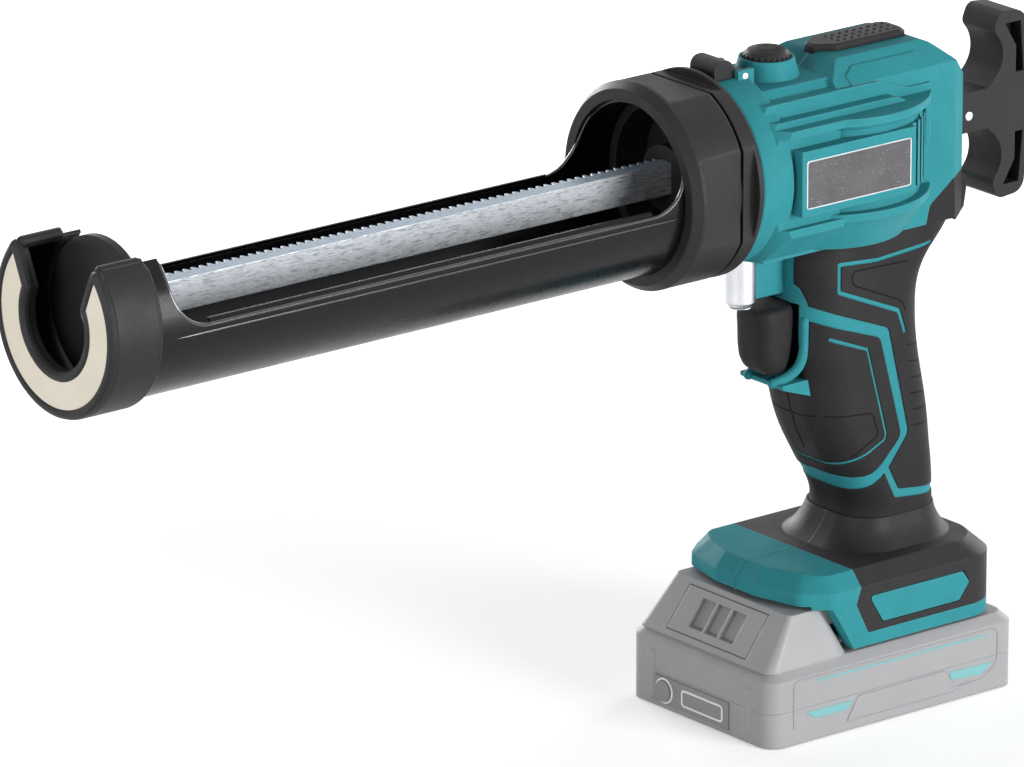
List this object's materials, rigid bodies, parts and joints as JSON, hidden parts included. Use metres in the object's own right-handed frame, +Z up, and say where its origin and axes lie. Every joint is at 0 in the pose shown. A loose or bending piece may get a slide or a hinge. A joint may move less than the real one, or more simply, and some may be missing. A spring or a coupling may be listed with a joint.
{
  "type": "cordless caulking tool",
  "caption": "Battery-powered caulking tool with an open half-round cartridge barrel, a toothed push rod with a rear pull handle, and a trigger grip standing on its slide-in battery.",
  "frame": {"origin": "centre of the battery's underside, which the tool stands on", "axes": "+Z up, +X rearwards along the barrel towards the pull handle, -Y the tool's left side"},
  "size_m": [0.3849, 0.0712, 0.222],
  "materials": {
    "teal_plastic": "fine grained moulded plastic",
    "grip_rubber": "soft overmould with fine texture",
    "black_plastic": "matte moulded plastic",
    "barrel_paint": "gloss black paint",
    "ivory_plastic": "smooth ivory plastic",
    "rack_steel": "plated steel",
    "gear_steel": "hardened steel",
    "silver_metal": "satin",
    "clear_lens": "clear",
    "motor_metal": "plated can",
    "board_green": "circuit board",
    "contact_brass": "bright",
    "plate_grey": "fine speckle, bare",
    "battery_grey": "matte moulded plastic",
    "cell_wrap": "wrapped cell"
  },
  "bodies": {
    "housing": {"housing_left": "teal_plastic", "housing_right": "teal_plastic", "grip_left": "grip_rubber", "grip_right": "grip_rubber", "foot_cover_left": "grip_rubber", "foot_cover_right": "grip_rubber", "foot_plate_left": "teal_plastic", "foot_plate_right": "teal_plastic", "name_plate_left": "plate_grey", "name_plate_right": "plate_grey", "rear_cover": "teal_plastic", "rack_guide": "black_plastic", "gear_plate_lower": "gear_steel", "gear_plate_upper": "gear_steel", "rack_shoe": "black_plastic", "motor_end_bell": "black_plastic", "motor_can": "motor_metal", "gearbox_case": "gear_steel", "switch_body": "black_plastic", "control_board": "board_green", "speed_sensor": "black_plastic", "latch_pin": "gear_steel", "light_lens": "clear_lens", "work_light": "silver_metal", "housing_screws": "gear_steel", "terminal_block": "black_plastic", "terminal_blades": "contact_brass"},
    "barrel": {"barrel": "barrel_paint", "front_cap": "black_plastic", "cap_ring": "ivory_plastic", "collar": "black_plastic"},
    "rack": {"rack": "rack_steel", "pusher_plate": "black_plastic", "pusher_screw": "gear_steel", "pull_handle": "black_plastic", "pull_pin": "gear_steel"},
    "pinion": {"pinion": "gear_steel", "pinion_shaft": "gear_steel", "driven_gear": "gear_steel"},
    "drive": {"drive_gear": "gear_steel", "drive_shaft": "gear_steel"},
    "trigger": {"trigger": "black_plastic"},
    "dial": {"speed_dial": "black_plastic"},
    "pad": {"release_pad": "black_plastic"},
    "latch": {"barrel_latch": "black_plastic"},
    "battery": {"battery_tray": "battery_grey", "battery_lid": "battery_grey", "battery_cells": "cell_wrap", "battery_board": "board_green", "charge_panel": "black_plastic", "charge_gauge": "clear_lens"},
    "key": {"battery_key": "black_plastic"},
    "charge_button": {"charge_button": "black_plastic"}
  },
  "joints": [
    {"name": "rack_slide", "type": "slide", "parent": "housing", "child": "rack", "axis": [1, 0, 0], "range_m": [0, 0.21]},
    {"name": "pinion_spin", "type": "hinge", "parent": "housing", "child": "pinion", "pos_m": [-0.00347, 0.0107, 0.1855], "axis": [0, 0, 1], "range_deg": [-10, 1545]},
    {"name": "drive_spin", "type": "hinge", "parent": "housing", "child": "drive", "pos_m": [0.011, 0, 0.178], "axis": [0, 0, 1], "range_deg": [-1930, 10]},
    {"name": "barrel_turn", "type": "hinge", "parent": "housing", "child": "barrel", "pos_m": [-0.06, 0, 0.1855], "axis": [1, 0, 0], "continuous": true},
    {"name": "trigger_pull", "type": "slide", "parent": "housing", "child": "trigger", "axis": [1, 0, 0], "range_m": [0, 0.006], "stiffness_N_per_m": 600},
    {"name": "dial_turn", "type": "hinge", "parent": "housing", "child": "dial", "pos_m": [-0.026, 0, 0.218], "axis": [0, 0, 1], "range_deg": [0, 270]},
    {"name": "release_press", "type": "slide", "parent": "housing", "child": "pad", "axis": [0, 0, -1], "range_m": [0, 0.0025], "stiffness_N_per_m": 800},
    {"name": "latch_lift", "type": "hinge", "parent": "housing", "child": "latch", "pos_m": [-0.0415, 0, 0.2162], "axis": [0, 1, 0], "range_deg": [0, 35]},
    {"name": "battery_slide", "type": "slide", "parent": "housing", "child": "battery", "axis": [-1, 0, 0], "range_m": [0, 0.11]},
    {"name": "key_press", "type": "slide", "parent": "battery", "child": "key", "axis": [1, 0, 0], "range_m": [0, 0.003], "stiffness_N_per_m": 800},
    {"name": "charge_press", "type": "slide", "parent": "battery", "child": "charge_button", "axis": [1, 0, 0], "range_m": [0, 0.0008], "stiffness_N_per_m": 600}
  ],
  "couplings": [
    {"joint": "pinion_spin", "follows": "rack_slide", "rad_per_m": 125},
    {"joint": "drive_spin", "follows": "rack_slide", "rad_per_m": -156.25}
  ]
}
